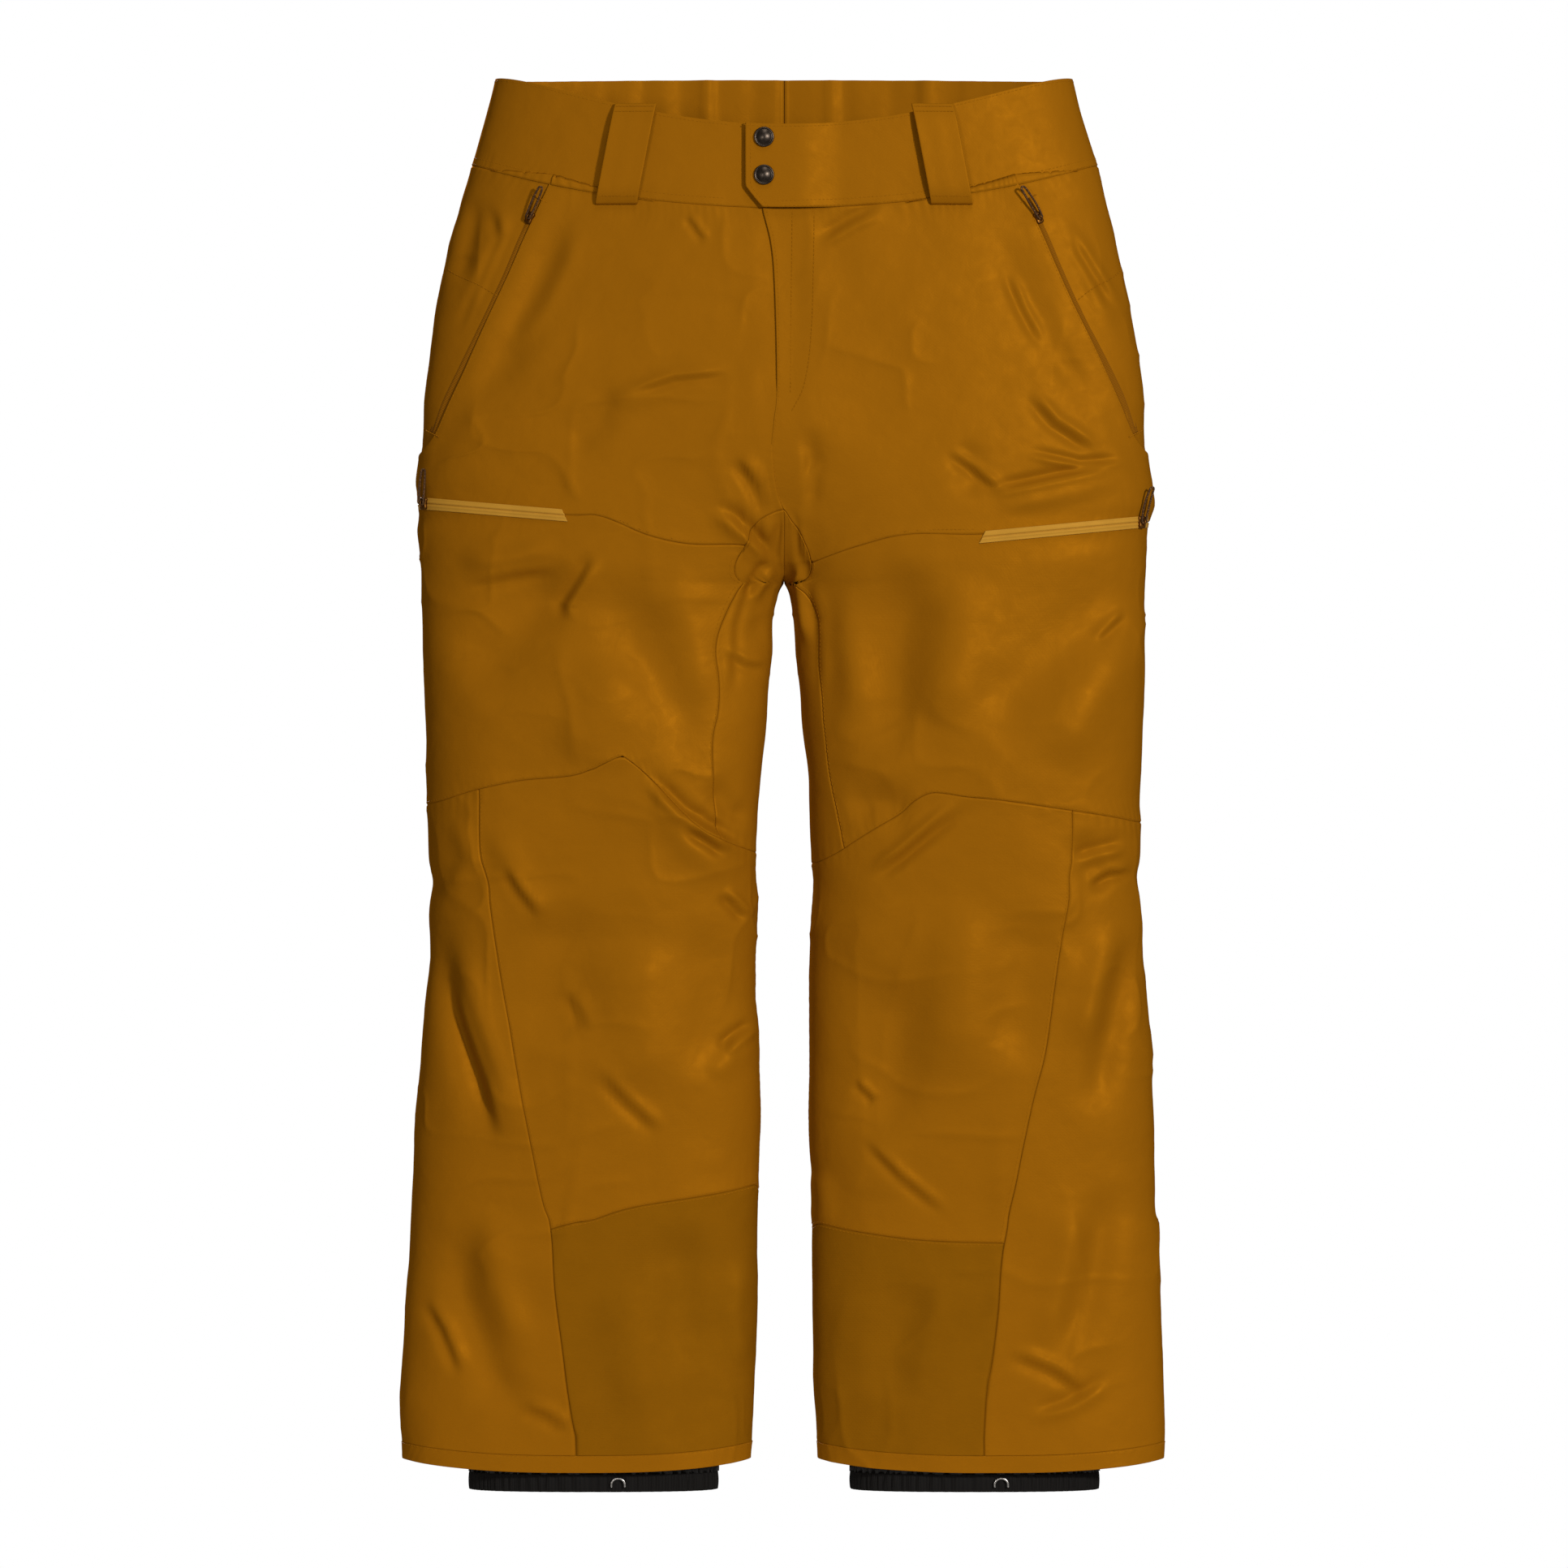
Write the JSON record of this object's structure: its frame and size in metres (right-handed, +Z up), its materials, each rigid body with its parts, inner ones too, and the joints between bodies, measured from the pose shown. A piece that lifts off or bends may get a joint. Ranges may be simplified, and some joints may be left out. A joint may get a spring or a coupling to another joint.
{
  "type": "snow trousers",
  "caption": "Waterproof shell snow trousers with a snapped waist tab, slanted hand pockets, sealed thigh zips, ankle scuff panels and inner gaiters.",
  "frame": {"origin": "middle of the waist opening, level with the top of the back waistband", "axes": "+Z up along the body, -Y is the front, +X is the wearer's left"},
  "size_m": [0.5944, 0.1294, 1.1061],
  "materials": {
    "shell_cloth": "matt coated nylon twill with a soft sheen",
    "scuff_cloth": "coarser abrasion-resistant nylon",
    "laminated_zip": "polyurethane film over zip tape",
    "zip_tape": "woven zip tape with a nylon coil",
    "pull_cord": "braided cord with a fleck",
    "slider_metal": "dark lacquered zinc",
    "snap_metal": "gunmetal plating, polished dome",
    "pocket_lining": "thin plain-weave polyester",
    "gaiter_cloth": "black nylon taffeta, gathered",
    "gaiter_elastic": "black elastic, gathered cloth over it",
    "hook_wire": "bright nickel-plated wire"
  },
  "bodies": {
    "garment": {"belt_loop_back_left": "shell_cloth", "belt_loop_back_right": "shell_cloth", "belt_loop_front_left": "shell_cloth", "belt_loop_front_right": "shell_cloth", "calf_back_left": "shell_cloth", "calf_back_right": "shell_cloth", "crotch_gusset": "shell_cloth", "cuff_outer_left": "shell_cloth", "cuff_outer_right": "shell_cloth", "fly_zip": "zip_tape", "front_panel_left": "shell_cloth", "front_panel_right": "shell_cloth", "gaiter_elastic_left": "gaiter_elastic", "gaiter_elastic_right": "gaiter_elastic", "gaiter_hook_left": "hook_wire", "gaiter_hook_right": "hook_wire", "gaiter_left": "gaiter_cloth", "gaiter_right": "gaiter_cloth", "hand_pocket_bag_left": "pocket_lining", "hand_pocket_bag_right": "pocket_lining", "hand_zip_left": "zip_tape", "hand_zip_right": "zip_tape", "hem_left": "shell_cloth", "hem_right": "shell_cloth", "knee_front_left": "shell_cloth", "knee_front_right": "shell_cloth", "scuff_guard_left": "scuff_cloth", "scuff_guard_right": "scuff_cloth", "seat_panel_left": "shell_cloth", "seat_panel_right": "shell_cloth", "snap_stud_lower": "snap_metal", "snap_stud_upper": "snap_metal", "thigh_back_left": "shell_cloth", "thigh_back_right": "shell_cloth", "thigh_front_left": "shell_cloth", "thigh_front_right": "shell_cloth", "thigh_pocket_bag_left": "pocket_lining", "thigh_pocket_bag_right": "pocket_lining", "thigh_zip_left": "laminated_zip", "thigh_zip_right": "laminated_zip", "waistband_back_left": "shell_cloth", "waistband_back_right": "shell_cloth", "waistband_front_left": "shell_cloth", "waistband_front_right": "shell_cloth"},
    "waist_tab": {"waist_tab": "shell_cloth", "snap_cap_upper": "snap_metal", "snap_cap_lower": "snap_metal"},
    "hand_slider_left": {"hand_slider_left": "slider_metal"},
    "hand_pull_left": {"hand_pull_left": "pull_cord"},
    "hand_slider_right": {"hand_slider_right": "slider_metal"},
    "hand_pull_right": {"hand_pull_right": "pull_cord"},
    "thigh_slider_left": {"thigh_slider_left": "slider_metal"},
    "thigh_pull_left": {"thigh_pull_left": "pull_cord"},
    "thigh_slider_right": {"thigh_slider_right": "slider_metal"},
    "thigh_pull_right": {"thigh_pull_right": "pull_cord"},
    "fly_slider": {"fly_slider": "slider_metal"},
    "fly_pull": {"fly_pull": "pull_cord"}
  },
  "joints": [
    {"name": "waist_tab_fold", "type": "hinge", "parent": "garment", "child": "waist_tab", "pos_m": [0.012, -0.0537, -0.066], "axis": [0, 0, 1], "range_deg": [0, 120]},
    {"name": "hand_zip_left_slide", "type": "slide", "parent": "garment", "child": "hand_slider_left", "axis": [0.4154, 0.0866, -0.9055], "range_m": [0, 0.175]},
    {"name": "hand_zip_left_pull_flip", "type": "hinge", "parent": "hand_slider_left", "child": "hand_pull_left", "pos_m": [0.19917, -0.04204, -0.11059], "axis": [0.7996, 0.4398, 0.4089], "range_deg": [0, 170]},
    {"name": "hand_zip_right_slide", "type": "slide", "parent": "garment", "child": "hand_slider_right", "axis": [-0.4154, 0.0866, -0.9055], "range_m": [0, 0.175]},
    {"name": "hand_zip_right_pull_flip", "type": "hinge", "parent": "hand_slider_right", "child": "hand_pull_right", "pos_m": [-0.19917, -0.04204, -0.11059], "axis": [0.7996, -0.4398, -0.4089], "range_deg": [0, 170]},
    {"name": "thigh_zip_left_run", "type": "hinge", "parent": "garment", "child": "thigh_slider_left", "pos_m": [0.15304, 0.17974, -0.35305], "axis": [0.0944, 0.028, -0.9951], "range_deg": [0, 30.7]},
    {"name": "thigh_zip_left_pull_flip", "type": "hinge", "parent": "thigh_slider_left", "child": "thigh_pull_left", "pos_m": [0.28058, -0.02619, -0.34688], "axis": [0.8473, 0.5311, 0], "range_deg": [0, 170]},
    {"name": "thigh_zip_right_run", "type": "hinge", "parent": "garment", "child": "thigh_slider_right", "pos_m": [-0.16675, 0.14369, -0.33749], "axis": [0.0841, -0.0279, 0.9961], "range_deg": [0, 32.5]},
    {"name": "thigh_zip_right_pull_flip", "type": "hinge", "parent": "thigh_slider_right", "child": "thigh_pull_right", "pos_m": [-0.28266, -0.02495, -0.33254], "axis": [0.8212, -0.5707, 0], "range_deg": [0, 170]},
    {"name": "fly_zip_slide", "type": "slide", "parent": "garment", "child": "fly_slider", "axis": [0, -0.0499, -0.9988], "range_m": [0, 0.142]},
    {"name": "fly_zip_pull_flip", "type": "hinge", "parent": "fly_slider", "child": "fly_pull", "pos_m": [0, -0.03613, -0.12048], "axis": [-1, 0, 0], "range_deg": [0, 170]}
  ]
}
